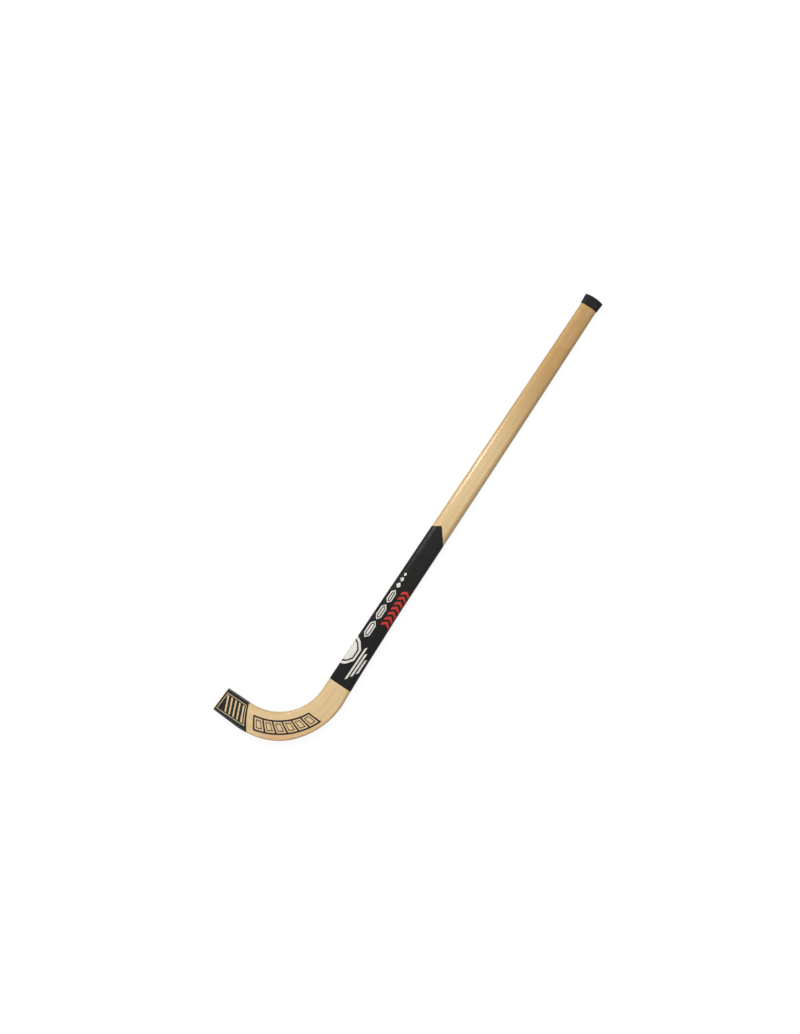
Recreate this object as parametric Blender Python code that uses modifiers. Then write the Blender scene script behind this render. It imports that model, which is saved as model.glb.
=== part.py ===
# Roller hockey stick: bent wood laminations glued side by side, a printed film sleeve round
# the lower shaft, printed transfers on both faces of the hook, and a rubber cap on the butt.
#
# Metres, +Z up. The stick lies on its broad face. The shaft runs along X with the butt at +X,
# and the hook curls towards +Y. The origin is the middle of the footprint, on the floor.
#
# Every piece is placed by three numbers: "along", the distance along the stick's inner edge
# from the start of the bend (positive on the shaft, negative round the bend and up the toe),
# "depth", from the inner edge towards the outer edge, and "height" over the middle plane.

import math
from collections import namedtuple

import bmesh
import bpy
from mathutils import Vector

# Inner edge: a straight shaft, a quarter bend and a straight toe.
SHAFT_LENGTH = 0.808  # start of the bend to the end of the bare wood
BEND_RADIUS = 0.089
BEND_ANGLE = math.radians(90.0)
TOE_LENGTH = 0.0483  # half way across the toe
TOE_SLANT = math.radians(3.0)  # of the toe's end, which is longer at the outer edge

# Width of the stick, from the inner edge to the outer edge.
BUTT_WIDTH = 0.0306
SHAFT_WIDTHS = (  # distance from the start of the bend, width
    (0.560, 0.0343),
    (0.350, 0.0364),
    (0.190, 0.0380),
    (0.130, 0.0397),
    (0.050, 0.0420),
)
HEEL_WIDTHS = (  # angle round the bend in degrees, width
    (0.0, 0.0446),
    (30.0, 0.0467),
    (55.0, 0.0492),
    (90.0, 0.0463),
)
TOE_WIDTH = 0.0436

# Thickness, and the rounding of the long edges.
THICKNESS = 0.0180
BUTT_THICKNESS = 0.0150
HOOK_ROUND = 0.0042  # across the face, as far as the hook's end of the bend
HOOK_ROUND_END = -0.030
SHAFT_ROUNDS = (  # distance from the start of the bend, rounding across the face
    (0.070, 0.0105),
    (0.350, 0.0115),
    (0.560, 0.0108),
)
BUTT_ROUND = 0.0085
ROUND_DROP = 0.71  # how far a rounding drops down the side for its reach across the face
LEAST_SIDE = 0.0008  # half of the flat left between the roundings of a narrow side

# Laminations, glued side by side from the inner edge outwards.
LAMINATION = 0.0042
GLUE_GAP = 0.0003
LEAST_LAMINATION = 0.0006  # a lamination is trimmed off where the outline leaves less of it

# Printed film: a sleeve round the lower shaft, and flat transfers on the hook.
FILM = 0.00025
FILM_GAP = 0.0003
SLEEVE_START = 0.0246
SLEEVE_TIP = 0.351
SLEEVE_TIP_DEPTH = 0.0144
SLEEVE_INNER_DROP = 0.0095  # from the tip back to the sleeve's end at the inner edge
SLEEVE_OUTER_DROP = 0.0283  # the same at the outer edge

# Transfer on the toe: a block with slanted windows, its far end slanted too.
TOE_PRINT_START = 0.0015  # from the toe's end
TOE_PRINT_INNER = 0.047  # length at the inner edge
TOE_PRINT_OUTER = 0.060  # length at the outer edge
TOE_PRINT_BORDER = 0.0040  # from a window's end to the block's inner or outer side
TOE_WINDOW = 0.0030
TOE_WINDOW_PITCH = 0.0080
TOE_WINDOW_LEAN = 0.0110
TOE_WINDOWS = 5

# Transfer on the bend: a curved ladder of slanted windows.
BEND_PRINT_START = math.radians(26.0)
BEND_PRINT_END = math.radians(82.0)
BEND_PRINT_DEPTH = 0.0130  # inner edge of the stick to the ladder
BEND_PRINT_HEIGHT = 0.0255
BEND_PRINT_BAR = 0.0030
BEND_WINDOWS = 6
BEND_WINDOW_LEAN = math.radians(5.0)

# Rubber cap: a cup whose skirt sits over a rebate cut round the butt.
CAP_LENGTH = 0.0190
CAP_TOP = 0.0060
CAP_LIP = 0.0009  # the skirt's edge stands this far proud of the wood
CAP_CORNER = 0.0012  # rounding between the cap's side and its domed end
CAP_DOME = 0.0030  # height that the dome would have from the cap's side without the flat on it
CAP_FLAT = 0.45  # share of the cap's width and thickness that is flat at the end
CAP_GAP = 0.0003
REBATE = 0.0018
SHOULDER_RAKE = 0.00015  # length of the slope at the rebate's shoulder

# Fineness of the curved surfaces.
SHAFT_STEPS = 14
BEND_STEPS = 24
TOE_STEPS = 4
CORNER_STEPS = 5
EDGE_STEPS = 5
RIM_STEPS = 3
DOME_STEPS = 4

WOOD = (0.71, 0.51, 0.28)
FILM_BLACK = (0.018, 0.018, 0.018)
INK_BLACK = (0.022, 0.021, 0.020)
RUBBER_BLACK = (0.020, 0.021, 0.021)

BEND_LENGTH = BEND_RADIUS * BEND_ANGLE
TOE_END = -BEND_LENGTH - TOE_LENGTH
MIDDLE = THICKNESS / 2 + FILM_GAP + FILM  # height of the middle plane over the floor
CAP_START = SHAFT_LENGTH + SHOULDER_RAKE + CAP_GAP
CAP_END = CAP_START + CAP_LENGTH

Section = namedtuple("Section", "near far half round")  # depths, half thickness, rounding across


def between(points, at):
    """Smooth value at a place, on a curve through points sorted by place."""
    last = len(points) - 1
    if at <= points[0][0]:
        return points[0][1]
    if at >= points[last][0]:
        return points[last][1]
    slopes = []
    for i in range(len(points)):
        before = points[max(i - 1, 0)]
        after = points[min(i + 1, last)]
        slopes.append((after[1] - before[1]) / (after[0] - before[0]))
    i = max(n for n in range(last) if points[n][0] <= at)
    span = points[i + 1][0] - points[i][0]
    t = (at - points[i][0]) / span
    start = (2 * t**3 - 3 * t**2 + 1) * points[i][1] + (t**3 - 2 * t**2 + t) * span * slopes[i]
    end = (3 * t**2 - 2 * t**3) * points[i + 1][1] + (t**3 - t**2) * span * slopes[i + 1]
    return start + end


def width_points():
    """The stick's widths by place along the inner edge, from the toe to the butt."""
    heel = [(-BEND_RADIUS * math.radians(angle), width) for angle, width in HEEL_WIDTHS]
    return sorted([(TOE_END, TOE_WIDTH), *heel, *SHAFT_WIDTHS, (SHAFT_LENGTH, BUTT_WIDTH)])


WIDTHS = width_points()


ROUNDINGS = [(HOOK_ROUND_END, HOOK_ROUND), *SHAFT_ROUNDS, (SHAFT_LENGTH, BUTT_ROUND)]


def wood(along):
    """Section of the bare wood at a place along the inner edge; it thins from the sleeve's tip on."""
    taper = max(0.0, (along - SLEEVE_TIP) / (SHAFT_LENGTH - SLEEVE_TIP))
    half = (THICKNESS + (BUTT_THICKNESS - THICKNESS) * min(taper, 1.0)) / 2
    rounding = min(between(ROUNDINGS, along), (half - LEAST_SIDE) / ROUND_DROP)
    return Section(0.0, between(WIDTHS, along), half, rounding)


def grown(section, by):
    """The section made larger all round, or smaller where the amount is negative."""
    return Section(
        section.near - by, section.far + by, section.half + by, max(section.round + by, LEAST_SIDE)
    )


def half_at(section, depth):
    """Half thickness of a section at a depth, less where its long edges are rounded."""
    inside = min(depth - section.near, section.far - depth)
    if inside >= section.round:
        return section.half
    inside = max(inside, 0.0)
    drop = section.round - math.sqrt(inside * (2 * section.round - inside))
    return section.half - drop * ROUND_DROP


def on_plan(along, depth):
    """Plan position, measured from the centre of the bend."""
    reach = BEND_RADIUS + depth
    if along >= 0:
        return along, -reach
    if along >= -BEND_LENGTH:
        turn = -along / BEND_RADIUS
        return -reach * math.sin(turn), -reach * math.cos(turn)
    straight = -along - BEND_LENGTH
    x = -reach * math.sin(BEND_ANGLE) + straight * -math.cos(BEND_ANGLE)
    y = -reach * math.cos(BEND_ANGLE) + straight * math.sin(BEND_ANGLE)
    return x, y


def cut_place(along, depth):
    """The place itself, or at the toe's end the place of its slanted cut at a depth."""
    if along > TOE_END:
        return along
    return TOE_END - (depth - TOE_WIDTH / 2) * math.tan(TOE_SLANT)


def stations():
    """Places along the inner edge where the wood has a section, from the toe's end to the butt."""
    toe = [TOE_END + TOE_LENGTH * i / TOE_STEPS for i in range(TOE_STEPS)]
    bend = [-BEND_LENGTH * (1 - i / BEND_STEPS) for i in range(BEND_STEPS)]
    shaft = [SHAFT_LENGTH * (i / SHAFT_STEPS) ** 1.6 for i in range(SHAFT_STEPS + 1)]
    return toe + bend + shaft


STATIONS = stations()


def footprint_middle():
    """Plan position of the middle of the stick's footprint, measured from the bend's centre."""
    sides = [(along, depth) for along in STATIONS for depth in (0.0, wood(along).far)]
    edge = [on_plan(cut_place(along, depth), depth) for along, depth in sides]
    xs = [x for x, y in edge] + [CAP_END]
    ys = [y for x, y in edge]
    return (min(xs) + max(xs)) / 2, (min(ys) + max(ys)) / 2


MIDDLE_X, MIDDLE_Y = footprint_middle()


def place(along, depth, height):
    """World position of a point of the stick."""
    x, y = on_plan(along, depth)
    return Vector((x - MIDDLE_X, y - MIDDLE_Y, MIDDLE + height))


def outline(section, steps, extra=None):
    """Depths and heights round a section, with one more depth on each broad side if asked."""
    near = section.near + section.round
    far = section.far - section.round
    r, drop = section.round, section.round * ROUND_DROP
    side = section.half - drop
    arc = [math.radians(90.0) * i / steps for i in range(steps + 1)]
    points = [(near - r * math.cos(a), side + drop * math.sin(a)) for a in arc]
    if extra is not None:
        points.append((extra, section.half))
    points += [(far + r * math.sin(a), side + drop * math.cos(a)) for a in arc]
    return points + [(depth, -height) for depth, height in reversed(points)]


def add_object(name, mesh_data, collection, colour, roughness):
    """One named part with its own material."""
    part = bpy.data.objects.new(name, mesh_data)
    collection.objects.link(part)
    finish = bpy.data.materials.new(name + "_finish")
    finish.use_nodes = True
    shader = finish.node_tree.nodes["Principled BSDF"]
    shader.inputs["Base Color"].default_value = (*colour, 1.0)
    shader.inputs["Roughness"].default_value = roughness
    shader.inputs["Metallic"].default_value = 0.0
    mesh_data.materials.append(finish)
    mesh_data.shade_smooth()
    mesh_data.set_sharp_from_angle(angle=math.radians(35.0))
    return part


def loft(name, rings, capped=True):
    """A skin through rings of points, closed at both ends unless it is a sleeve."""
    skin = bmesh.new()
    loops = [[skin.verts.new(point) for point in ring] for ring in rings]
    for ring, following in zip(loops, loops[1:]):
        for i in range(len(ring)):
            j = (i + 1) % len(ring)
            skin.faces.new((ring[i], ring[j], following[j], following[i]))
    if capped:
        skin.faces.new(list(reversed(loops[0])))
        skin.faces.new(loops[-1])
    bmesh.ops.recalc_face_normals(skin, faces=skin.faces)
    mesh = bpy.data.meshes.new(name)
    skin.to_mesh(mesh)
    skin.free()
    return mesh


def trimmed(sign, depth):
    """How far along the inner edge the wood is wider than a depth, from the heel in one direction."""
    ends = STATIONS if sign > 0 else list(reversed(STATIONS))
    widest = max(STATIONS, key=lambda along: wood(along).far)
    inside = widest
    for along in ends[ends.index(widest) :]:
        if wood(along).far < depth:
            outside = along
            for _ in range(40):
                halfway = (inside + outside) / 2
                if wood(halfway).far < depth:
                    outside = halfway
                else:
                    inside = halfway
            return inside
        inside = along
    return inside


def slice_ring(along, section, low, high, near_edge, steps):
    """Points round the part of a section that lies between two depths."""
    start = max(low, section.near)
    end = min(high, section.far)
    points = []
    for i in range(steps + 1):
        turn = math.radians(90.0) * i / steps
        share = 1 - math.cos(turn) if near_edge else math.sin(turn)
        depth = start + (end - start) * share
        points.append((depth, half_at(section, depth)))
    points += [(depth, -height) for depth, height in reversed(points)]
    return [place(cut_place(along, depth), depth, height) for depth, height in points]


def lamination(number, last, collection):
    """One strip of wood, cut to the stick's outline and to the rebate under the cap."""
    low = number * (LAMINATION + GLUE_GAP)
    high = math.inf if last else low + LAMINATION  # the last one runs out to the outline
    first_place = trimmed(-1, low + LEAST_LAMINATION)
    last_place = trimmed(1, low + LEAST_LAMINATION)
    clear = LEAST_LAMINATION
    inner = [along for along in STATIONS if first_place + clear < along < last_place - clear]
    places = [first_place, *inner, last_place]
    near_edge = low < max(wood(a).round for a in places)
    far_edge = any(min(high, wood(a).far) > wood(a).far - wood(a).round for a in places)
    steps = EDGE_STEPS if near_edge or far_edge else 1
    rings = [slice_ring(a, wood(a), low, high, near_edge, steps) for a in places]
    rebated = grown(wood(SHAFT_LENGTH), -REBATE)
    under_cap = min(high, rebated.far) - max(low, rebated.near)
    if last_place == SHAFT_LENGTH and under_cap > LEAST_LAMINATION:
        shoulder = SHAFT_LENGTH + SHOULDER_RAKE
        end = CAP_END - CAP_TOP - CAP_GAP
        rings += [slice_ring(a, rebated, low, high, near_edge, steps) for a in (shoulder, end)]
    name = f"lamination_{number + 1:02d}"
    return add_object(name, loft(name, rings), collection, WOOD, 0.42)


def laminations(collection):
    """All the strips, as many as the widest place of the heel has room for."""
    widest = max(wood(along).far for along in STATIONS)
    count = int((widest - LEAST_LAMINATION) / (LAMINATION + GLUE_GAP)) + 1
    for number in range(count):
        lamination(number, number == count - 1, collection)


def sleeve_end(depth):
    """Place of the sleeve's upper end at a depth: two slanted cuts that meet in a point."""
    if depth < SLEEVE_TIP_DEPTH:
        return SLEEVE_TIP - SLEEVE_INNER_DROP * (SLEEVE_TIP_DEPTH - depth) / SLEEVE_TIP_DEPTH
    outer = wood(SLEEVE_TIP).far - SLEEVE_TIP_DEPTH
    return SLEEVE_TIP - SLEEVE_OUTER_DROP * (depth - SLEEVE_TIP_DEPTH) / outer


def sleeve(collection):
    """Thin printed film all round the lower shaft, pointed at its upper end on both faces."""
    below_point = SLEEVE_TIP - SLEEVE_OUTER_DROP - SLEEVE_TIP_DEPTH
    inner = [a for a in STATIONS if SLEEVE_START + FILM < a < below_point - FILM]
    rings = []
    for along in [SLEEVE_START, *inner, below_point]:
        section = grown(wood(along), FILM_GAP)
        points = outline(section, CORNER_STEPS, SLEEVE_TIP_DEPTH)
        rings.append([place(along, depth, height) for depth, height in points])
    tip = outline(grown(wood(SLEEVE_TIP), FILM_GAP), CORNER_STEPS, SLEEVE_TIP_DEPTH)
    pointed = []
    for i, (depth, height) in enumerate(tip):
        along = sleeve_end(depth)
        points = outline(grown(wood(along), FILM_GAP), CORNER_STEPS, SLEEVE_TIP_DEPTH)
        pointed.append(place(along, *points[i]))
    rings.append(pointed)
    skin = loft("shaft_sleeve", rings, capped=False)
    part = add_object("shaft_sleeve", skin, collection, FILM_BLACK, 0.22)
    film = part.modifiers.new("film", "SOLIDIFY")
    film.thickness = FILM
    film.offset = 1.0
    film.use_even_offset = True
    return part


def flat_film(name, outlines, side, collection):
    """A flat transfer cut from film, on the upper face (side 1) or the lower face (side -1)."""
    curve = bpy.data.curves.new(name, "CURVE")
    curve.dimensions = "2D"
    curve.fill_mode = "BOTH"
    curve.extrude = FILM / 2
    for points in outlines:
        spline = curve.splines.new("POLY")
        spline.points.add(len(points) - 1)
        for point, (along, depth) in zip(spline.points, points):
            spot = place(along, depth, 0.0)
            point.co = (spot.x, spot.y, 0.0, 1.0)
        spline.use_cyclic_u = True
    shape = bpy.data.objects.new(name + "_outline", curve)
    shape.location.z = MIDDLE + side * (THICKNESS / 2 + FILM_GAP + FILM / 2)
    collection.objects.link(shape)
    graph = bpy.context.evaluated_depsgraph_get()
    mesh = bpy.data.meshes.new_from_object(shape.evaluated_get(graph))
    welded = bmesh.new()
    welded.from_mesh(mesh)
    bmesh.ops.remove_doubles(welded, verts=welded.verts, dist=0.00001)
    bmesh.ops.recalc_face_normals(welded, faces=welded.faces)
    welded.to_mesh(mesh)
    welded.free()
    mesh.name = name
    part = add_object(name, mesh, collection, INK_BLACK, 0.30)
    part.matrix_world = shape.matrix_world
    bpy.data.objects.remove(shape)
    return part


def side_line(start, end, spacing=0.005):
    """Evenly spaced points from one (along, depth) to another, without the last one."""
    count = max(1, round(abs(end[0] - start[0]) / spacing))
    steps = [i / count for i in range(count)]
    return [(start[0] + (end[0] - start[0]) * t, start[1] + (end[1] - start[1]) * t) for t in steps]


def framed(corners):
    """A closed outline through corners, with points between them that follow the bend."""
    following = corners[1:] + corners[:1]
    return [point for pair in zip(corners, following) for point in side_line(*pair)]


def toe_print():
    """Outlines of the toe's transfer: the block, then its slanted windows."""
    first = TOE_END + TOE_PRINT_START
    low = HOOK_ROUND
    high = min(TOE_WIDTH, wood(TOE_END + TOE_PRINT_OUTER).far) - HOOK_ROUND
    block = [
        (cut_place(TOE_END, low) + TOE_PRINT_START, low),
        (TOE_END + TOE_PRINT_INNER, low),
        (TOE_END + TOE_PRINT_OUTER, high),
        (cut_place(TOE_END, high) + TOE_PRINT_START, high),
    ]
    outlines = [framed(block)]
    span = TOE_WINDOW_PITCH * (TOE_WINDOWS - 1) + TOE_WINDOW
    margin = (TOE_PRINT_INNER - TOE_PRINT_START - span) / 2
    for i in range(TOE_WINDOWS):
        start = first + margin + TOE_WINDOW_PITCH * i
        inner = (start, low + TOE_PRINT_BORDER)
        outer = (start + TOE_WINDOW_LEAN, high - TOE_PRINT_BORDER)
        across = [inner, outer, (outer[0] + TOE_WINDOW, outer[1]), (inner[0] + TOE_WINDOW, inner[1])]
        outlines.append(framed(across))
    return outlines


def bend_print():
    """Outlines of the bend's transfer: the curved band, then its slanted windows."""
    low = BEND_PRINT_DEPTH
    high = low + BEND_PRINT_HEIGHT
    start = -BEND_RADIUS * BEND_PRINT_END
    end = -BEND_RADIUS * BEND_PRINT_START
    # A bar's width is taken half way across the ladder and scaled to the inner edge.
    post = BEND_PRINT_BAR * BEND_RADIUS / (BEND_RADIUS + (low + high) / 2)

    def leaning(first, last, top, bottom):
        slope = BEND_RADIUS * BEND_WINDOW_LEAN / BEND_PRINT_HEIGHT
        corners = ((first, top), (last, top), (last, bottom), (first, bottom))
        return framed([(along + slope * (depth - low), depth) for along, depth in corners])

    outlines = [leaning(start, end, low, high)]
    pitch = (end - start - post) / BEND_WINDOWS
    for i in range(BEND_WINDOWS):
        first = start + post + pitch * i
        outlines.append(leaning(first, first + pitch - post, low + BEND_PRINT_BAR, high - BEND_PRINT_BAR))
    return outlines


def domed_end(reach):
    """Rises over the foot of the cap's domed end, with the share of its size left at each."""
    slope = math.atan(2 * CAP_DOME / reach)  # of the dome where the rounded corner meets it
    turns = [(math.radians(90.0) - slope) * i / RIM_STEPS for i in range(RIM_STEPS + 1)]
    rings = [(CAP_CORNER * math.sin(t), 1 - CAP_CORNER * (1 - math.cos(t)) / reach) for t in turns]
    rise, start = rings[-1]
    for i in range(1, DOME_STEPS + 1):
        share = start + (CAP_FLAT - start) * i / DOME_STEPS
        rings.append((rise + CAP_DOME * (start**2 - share**2), share))
    return rings


def end_cap(collection):
    """Rubber cup over the rebated butt: pocket, skirt, flared side and a domed end with a flat."""
    butt = wood(SHAFT_LENGTH)
    pocket = grown(butt, CAP_GAP - REBATE)
    flare = MIDDLE - butt.half  # the rim comes down to the floor beside the sleeve
    rim = grown(butt, flare)
    rings = [(CAP_END - CAP_TOP, pocket), (CAP_START, pocket), (CAP_START, grown(butt, CAP_LIP))]
    middle = (rim.near + rim.far) / 2
    reach = rim.far - middle
    dome = domed_end(reach)
    foot = CAP_END - dome[-1][0]
    for rise, share in dome:
        near, far = middle - reach * share, middle + reach * share
        rings.append((foot + rise, Section(near, far, rim.half * share, rim.round * share)))
    skin = []
    for along, section in rings:
        points = outline(section, CORNER_STEPS)
        skin.append([place(along, depth, height) for depth, height in points])
    return add_object("end_cap", loft("end_cap", skin), collection, RUBBER_BLACK, 0.55)


def build():
    """Clear the scene and model every part of the stick."""
    for leftover in list(bpy.data.objects):
        bpy.data.objects.remove(leftover, do_unlink=True)
    stick = bpy.data.collections.new("roller_hockey_stick")
    bpy.context.scene.collection.children.link(stick)
    laminations(stick)
    sleeve(stick)
    for side, face in ((1, "upper"), (-1, "lower")):
        flat_film(f"toe_transfer_{face}", toe_print(), side, stick)
        flat_film(f"bend_transfer_{face}", bend_print(), side, stick)
    end_cap(stick)


build()
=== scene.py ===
# Roller hockey stick: glued wood strips, a printed film sleeve, printed transfers and a rubber cap.
import math

import bmesh
import bpy
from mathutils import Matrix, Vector


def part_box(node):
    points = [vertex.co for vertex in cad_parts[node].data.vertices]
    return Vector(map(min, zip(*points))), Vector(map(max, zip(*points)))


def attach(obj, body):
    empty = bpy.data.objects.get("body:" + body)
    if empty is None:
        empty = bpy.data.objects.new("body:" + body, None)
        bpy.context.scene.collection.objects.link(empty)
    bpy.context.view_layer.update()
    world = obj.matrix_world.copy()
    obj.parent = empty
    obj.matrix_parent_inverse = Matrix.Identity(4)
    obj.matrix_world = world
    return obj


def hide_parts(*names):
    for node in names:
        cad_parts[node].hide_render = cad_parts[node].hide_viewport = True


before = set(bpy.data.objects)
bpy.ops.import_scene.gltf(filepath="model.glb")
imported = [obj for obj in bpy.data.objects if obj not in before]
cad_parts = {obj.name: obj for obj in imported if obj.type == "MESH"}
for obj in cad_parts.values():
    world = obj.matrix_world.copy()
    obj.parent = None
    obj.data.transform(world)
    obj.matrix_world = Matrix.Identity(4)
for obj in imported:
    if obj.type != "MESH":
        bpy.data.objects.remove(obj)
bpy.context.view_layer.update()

print("frame loaded:", len(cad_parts), "nodes")

# The stick's form. Places on it are along (from the start of the bend, up the shaft), depth (from
# the inner edge outwards) and height (over the middle plane), all in metres.
stickForm = {
    "middle": 0.00955,
    "bendRadius": 0.089,
    "shaftLength": 0.808,
    "toeLength": 0.0483,
    "toeSlant": math.radians(3.0),  # of the sawn end, longer at the outer edge
    "shaftWidths": [  # by place along the shaft
        (0.050, 0.0420),
        (0.130, 0.0397),
        (0.190, 0.0380),
        (0.350, 0.0364),
        (0.560, 0.0343),
        (0.808, 0.0306),
    ],
    "heelWidths": [(0, 0.0446), (30, 0.0467), (55, 0.0492), (90, 0.0463)],  # by angle round the bend
    "toeWidth": 0.0436,
    "halfThickness": 0.0090,
    "buttHalfThickness": 0.0075,
    "thinsFrom": 0.351,
    "shaftRounds": [(0.070, 0.0105), (0.350, 0.0115), (0.560, 0.0108), (0.808, 0.0085)],  # across the face
    "hookRound": 0.0042,
    "hookRoundEnd": -0.030,
    "roundDrop": 0.71,  # how far a rounding drops down the side for its reach across the face
    "leastSide": 0.0008,
    "toeRound": 0.0009,  # the sawn toe's edges, just broken
    "shaftSteps": 40,
    "stepGrowth": 1.3,  # above 1 the shaft's steps are closer together near the bend
    "bendSteps": 60,
    "toeSteps": 6,
    "roundSteps": 10,
}
bendRadius = stickForm["bendRadius"]
bendEnd = -bendRadius * math.pi / 2
toeEnd = bendEnd - stickForm["toeLength"]
middle = stickForm["middle"]
# The centre of the bend, from the boxes of the sleeve and of the strip at the inner edge.
sleeveStart, innerStrip = 0.0246, 0.0042
bendCentre = (
    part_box("shaft_sleeve")[0][0] - sleeveStart,
    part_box("lamination_01")[0][1] + bendRadius + innerStrip,
)
bendPivot = (*bendCentre, middle)


# Smooth value on a curve through points sorted by place.
def curveThrough(points, at):
    last = len(points) - 1
    if at <= points[0][0]:
        return points[0][1]
    if at >= points[last][0]:
        return points[last][1]
    slopes = []
    for i in range(len(points)):
        before, after = points[max(i - 1, 0)], points[min(i + 1, last)]
        slopes.append((after[1] - before[1]) / (after[0] - before[0]))
    i = max(n for n in range(last) if points[n][0] <= at)
    span = points[i + 1][0] - points[i][0]
    t = (at - points[i][0]) / span
    start = (2 * t**3 - 3 * t**2 + 1) * points[i][1] + (t**3 - 2 * t**2 + t) * span * slopes[i]
    end = (3 * t**2 - 2 * t**3) * points[i + 1][1] + (t**3 - t**2) * span * slopes[i + 1]
    return start + end


heel = [(-bendRadius * math.radians(angle), width) for angle, width in stickForm["heelWidths"]]
widthPoints = sorted([(toeEnd, stickForm["toeWidth"]), *heel, *stickForm["shaftWidths"]])


def widthAt(along):
    return curveThrough(widthPoints, along)


def halfAt(along):
    start, end = stickForm["thinsFrom"], stickForm["shaftLength"]
    share = min(max((along - start) / (end - start), 0.0), 1.0)
    return stickForm["halfThickness"] + (stickForm["buttHalfThickness"] - stickForm["halfThickness"]) * share


roundings = [(stickForm["hookRoundEnd"], stickForm["hookRound"]), *stickForm["shaftRounds"]]
widestRound = max(rounding for place, rounding in roundings)
roundDrop = stickForm["roundDrop"]


def roundAt(along):
    return min(curveThrough(roundings, along), (halfAt(along) - stickForm["leastSide"]) / roundDrop)


# The slanted toe's end at a depth.
def toeCut(depth):
    return toeEnd - (depth - stickForm["toeWidth"] / 2) * math.tan(stickForm["toeSlant"])


# World position of a place on the stick.
def spot(along, depth, height=0.0):
    centreX, centreY = bendCentre
    reach = bendRadius + depth
    if along >= 0:
        return Vector((centreX + along, centreY - reach, middle + height))
    if along >= bendEnd:
        turn = -along / bendRadius
        return Vector((centreX - reach * math.sin(turn), centreY - reach * math.cos(turn), middle + height))
    return Vector((centreX - reach, centreY + bendEnd - along, middle + height))


# The place on the stick of a world position.
def placeOf(point):
    across, up = bendCentre[0] - point.x, bendCentre[1] - point.y
    reach = math.hypot(max(across, 0.0), max(up, 0.0))
    turn = math.atan2(max(across, 0.0), max(up, 0.0))
    along = max(-across, 0.0) - bendRadius * turn - max(-up, 0.0)
    return along, reach - bendRadius, point.z - middle


def selectOnly(piece):
    bpy.ops.object.select_all(action="DESELECT")
    piece.select_set(True)
    bpy.context.view_layer.objects.active = piece


def startEditing(piece):
    selectOnly(piece)
    bpy.ops.object.mode_set(mode="EDIT")


def stopEditing():
    bpy.ops.object.mode_set(mode="OBJECT")


# Selects the faces of the mesh in edit mode that pass a test.
def selectFaces(piece, test):
    bpy.ops.mesh.select_mode(type="FACE")
    bpy.ops.mesh.select_all(action="DESELECT")
    mesh = bmesh.from_edit_mesh(piece.data)
    for face in mesh.faces:
        face.select_set(test(face))
    bmesh.update_edit_mesh(piece.data)


def applied(piece, kind, **settings):
    selectOnly(piece)
    modifier = piece.modifiers.new(kind.lower(), kind)
    for name, value in settings.items():
        setattr(modifier, name, value)
    bpy.ops.object.modifier_apply(modifier=modifier.name)


def copyOf(piece, name):
    selectOnly(piece)
    bpy.ops.object.duplicate()
    copy = bpy.context.object
    copy.name = copy.data.name = name
    return copy


def cutWith(piece, cutter, operation):
    applied(piece, "BOOLEAN", object=cutter, operation=operation, solver="EXACT", material_mode="INDEX")
    bpy.data.objects.remove(cutter)


def joined(pieces, name):
    bpy.ops.object.select_all(action="DESELECT")
    for piece in pieces:
        piece.select_set(True)
    bpy.context.view_layer.objects.active = pieces[0]
    if len(pieces) > 1:
        bpy.ops.object.join()
    pieces[0].name = pieces[0].data.name = name
    return pieces[0]


def turnFacesOut():
    bpy.ops.mesh.select_all(action="SELECT")
    bpy.ops.mesh.normals_make_consistent(inside=False)


def extrudeSelected(x, y=0.0, z=0.0):
    bpy.ops.mesh.extrude_region_move(TRANSFORM_OT_translate={"value": (x, y, z)})


weldDistance = 0.0000015
samePlace = 0.00001  # places nearer than this are one
smoothAngle = math.radians(32)  # edges sharper than this stay sharp


# Welds, splits the many-sided faces that the cuts leave, turns all faces outwards and smooths all
# but the real edges.
def tidied(piece):
    startEditing(piece)
    bpy.ops.mesh.select_all(action="SELECT")
    bpy.ops.mesh.remove_doubles(threshold=weldDistance)
    bpy.ops.mesh.dissolve_degenerate(threshold=weldDistance)
    selectFaces(piece, lambda face: len(face.verts) > 4)
    bpy.ops.mesh.quads_convert_to_tris(quad_method="BEAUTY", ngon_method="BEAUTY")
    turnFacesOut()
    stopEditing()
    bpy.ops.object.shade_smooth_by_angle(angle=smoothAngle, keep_sharp_edges=False)
    applied(piece, "WEIGHTED_NORMAL", keep_sharp=True)


skinMark = bpy.data.materials.new("skinMark")
cutMark = bpy.data.materials.new("cutMark")


# Face marks, which follow a face through the cuts: 0 on the stick's own skin, 1 on a cutter.
def marked(piece, mark):
    piece.data.materials.clear()
    piece.data.materials.append(skinMark)
    piece.data.materials.append(cutMark)
    for face in piece.data.polygons:
        face.material_index = mark
    return piece


# What has rounded edges is made thicker by 1 / roundDrop and rounded in circles. Pressing it to its
# thickness then makes the roundings oval.
def pressSelected():
    bpy.ops.transform.resize(value=(1, 1, roundDrop), center_override=bendPivot)


# A four-cornered section at a place on the shaft, square to it and left in edit mode.
def sectionPlane(name, along, near, far, half):
    centre = spot(along, (near + far) / 2)
    bpy.ops.mesh.primitive_plane_add(size=1, location=centre, rotation=(0, math.pi / 2, 0))
    piece = bpy.context.object
    piece.name = piece.data.name = name
    bpy.ops.object.transform_apply(location=True, rotation=True, scale=True)
    startEditing(piece)
    bpy.ops.mesh.select_all(action="SELECT")
    bpy.ops.transform.resize(value=(1, far - near, 2 * half), center_override=centre)
    return piece


# How far cutters reach past the butt and the toe, and from the middle plane past both faces. A
# window's cutter is a little taller than the plates that it goes through.
cutterReach = {"butt": 0.030, "toe": 0.010, "height": 0.015, "window": 0.001}


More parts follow.
